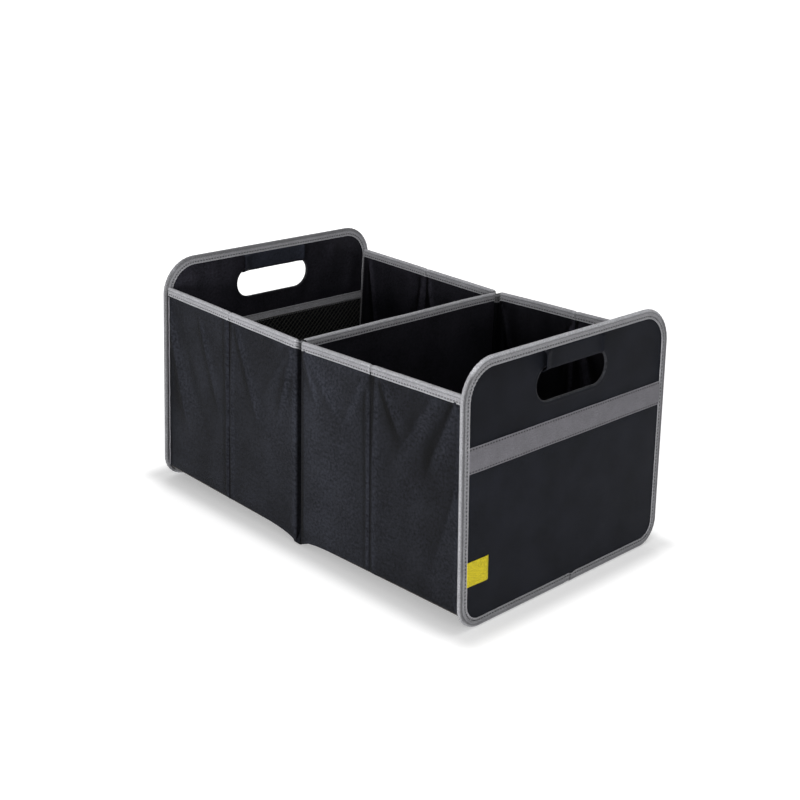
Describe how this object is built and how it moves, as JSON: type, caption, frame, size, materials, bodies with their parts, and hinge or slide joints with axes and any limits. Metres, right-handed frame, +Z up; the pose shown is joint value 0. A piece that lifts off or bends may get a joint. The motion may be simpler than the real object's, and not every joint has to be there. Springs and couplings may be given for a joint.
{
  "type": "folding storage box",
  "caption": "Folding fabric storage box for a car boot, with stiff bound end panels, handle slots, a middle divider and floor boards that lift.",
  "frame": {"origin": "under the middle of the box, on the surface it stands on", "axes": "+X along the length towards the end with the tab, +Y across to the side away from the viewer, +Z up"},
  "size_m": [0.4998, 0.32, 0.275],
  "materials": {
    "shell_cloth": "tightly woven black polyester",
    "lining_cloth": "woven black polyester lining",
    "binding_tape": "ribbed grey binding tape, stitched near its edge",
    "pocket_band": "smooth grey woven band",
    "board": "matt stiffening board",
    "net": "fine black net",
    "tab": "yellow woven tab"
  },
  "bodies": {
    "shell": {"front_end_cover": "shell_cloth", "front_end_board": "board", "front_end_lining": "lining_cloth", "front_end_binding": "binding_tape", "front_grip_sleeve": "shell_cloth", "front_outer_pocket": "shell_cloth", "front_pocket_band": "pocket_band", "rear_end_cover": "shell_cloth", "rear_end_board": "board", "rear_end_lining": "lining_cloth", "rear_end_binding": "binding_tape", "rear_grip_sleeve": "shell_cloth", "rear_outer_pocket": "shell_cloth", "rear_pocket_band": "pocket_band", "plain_tab": "tab", "net_pocket": "net", "net_hem": "pocket_band", "left_front_wall_cloth": "shell_cloth", "left_front_wall_lining": "lining_cloth", "left_front_wall_board_inner": "board", "left_front_wall_board_outer": "board", "left_front_wall_binding": "binding_tape", "right_front_wall_cloth": "shell_cloth", "right_front_wall_lining": "lining_cloth", "right_front_wall_board_inner": "board", "right_front_wall_board_outer": "board", "right_front_wall_binding": "binding_tape", "left_rear_wall_cloth": "shell_cloth", "left_rear_wall_lining": "lining_cloth", "left_rear_wall_board_inner": "board", "left_rear_wall_board_outer": "board", "left_rear_wall_binding": "binding_tape", "right_rear_wall_cloth": "shell_cloth", "right_rear_wall_lining": "lining_cloth", "right_rear_wall_board_inner": "board", "right_rear_wall_board_outer": "board", "right_rear_wall_binding": "binding_tape", "front_base_cloth": "shell_cloth", "rear_base_cloth": "shell_cloth", "left_tuck": "shell_cloth", "right_tuck": "shell_cloth", "divider_board": "board", "divider_cloth_front": "lining_cloth", "divider_cloth_rear": "lining_cloth", "divider_binding": "binding_tape"},
    "front_floor": {"front_floor_board": "board", "front_floor_sleeve": "lining_cloth", "front_pull_tab": "lining_cloth"},
    "rear_floor": {"rear_floor_board": "board", "rear_floor_sleeve": "lining_cloth", "rear_pull_tab": "lining_cloth"}
  },
  "joints": [
    {"name": "front_floor_lift", "type": "hinge", "parent": "shell", "child": "front_floor", "pos_m": [0.0033, 0, 0.0138], "axis": [0, -1, 0], "range_deg": [0, 86]},
    {"name": "rear_floor_lift", "type": "hinge", "parent": "shell", "child": "rear_floor", "pos_m": [-0.0033, 0, 0.0138], "axis": [0, 1, 0], "range_deg": [0, 86]}
  ]
}
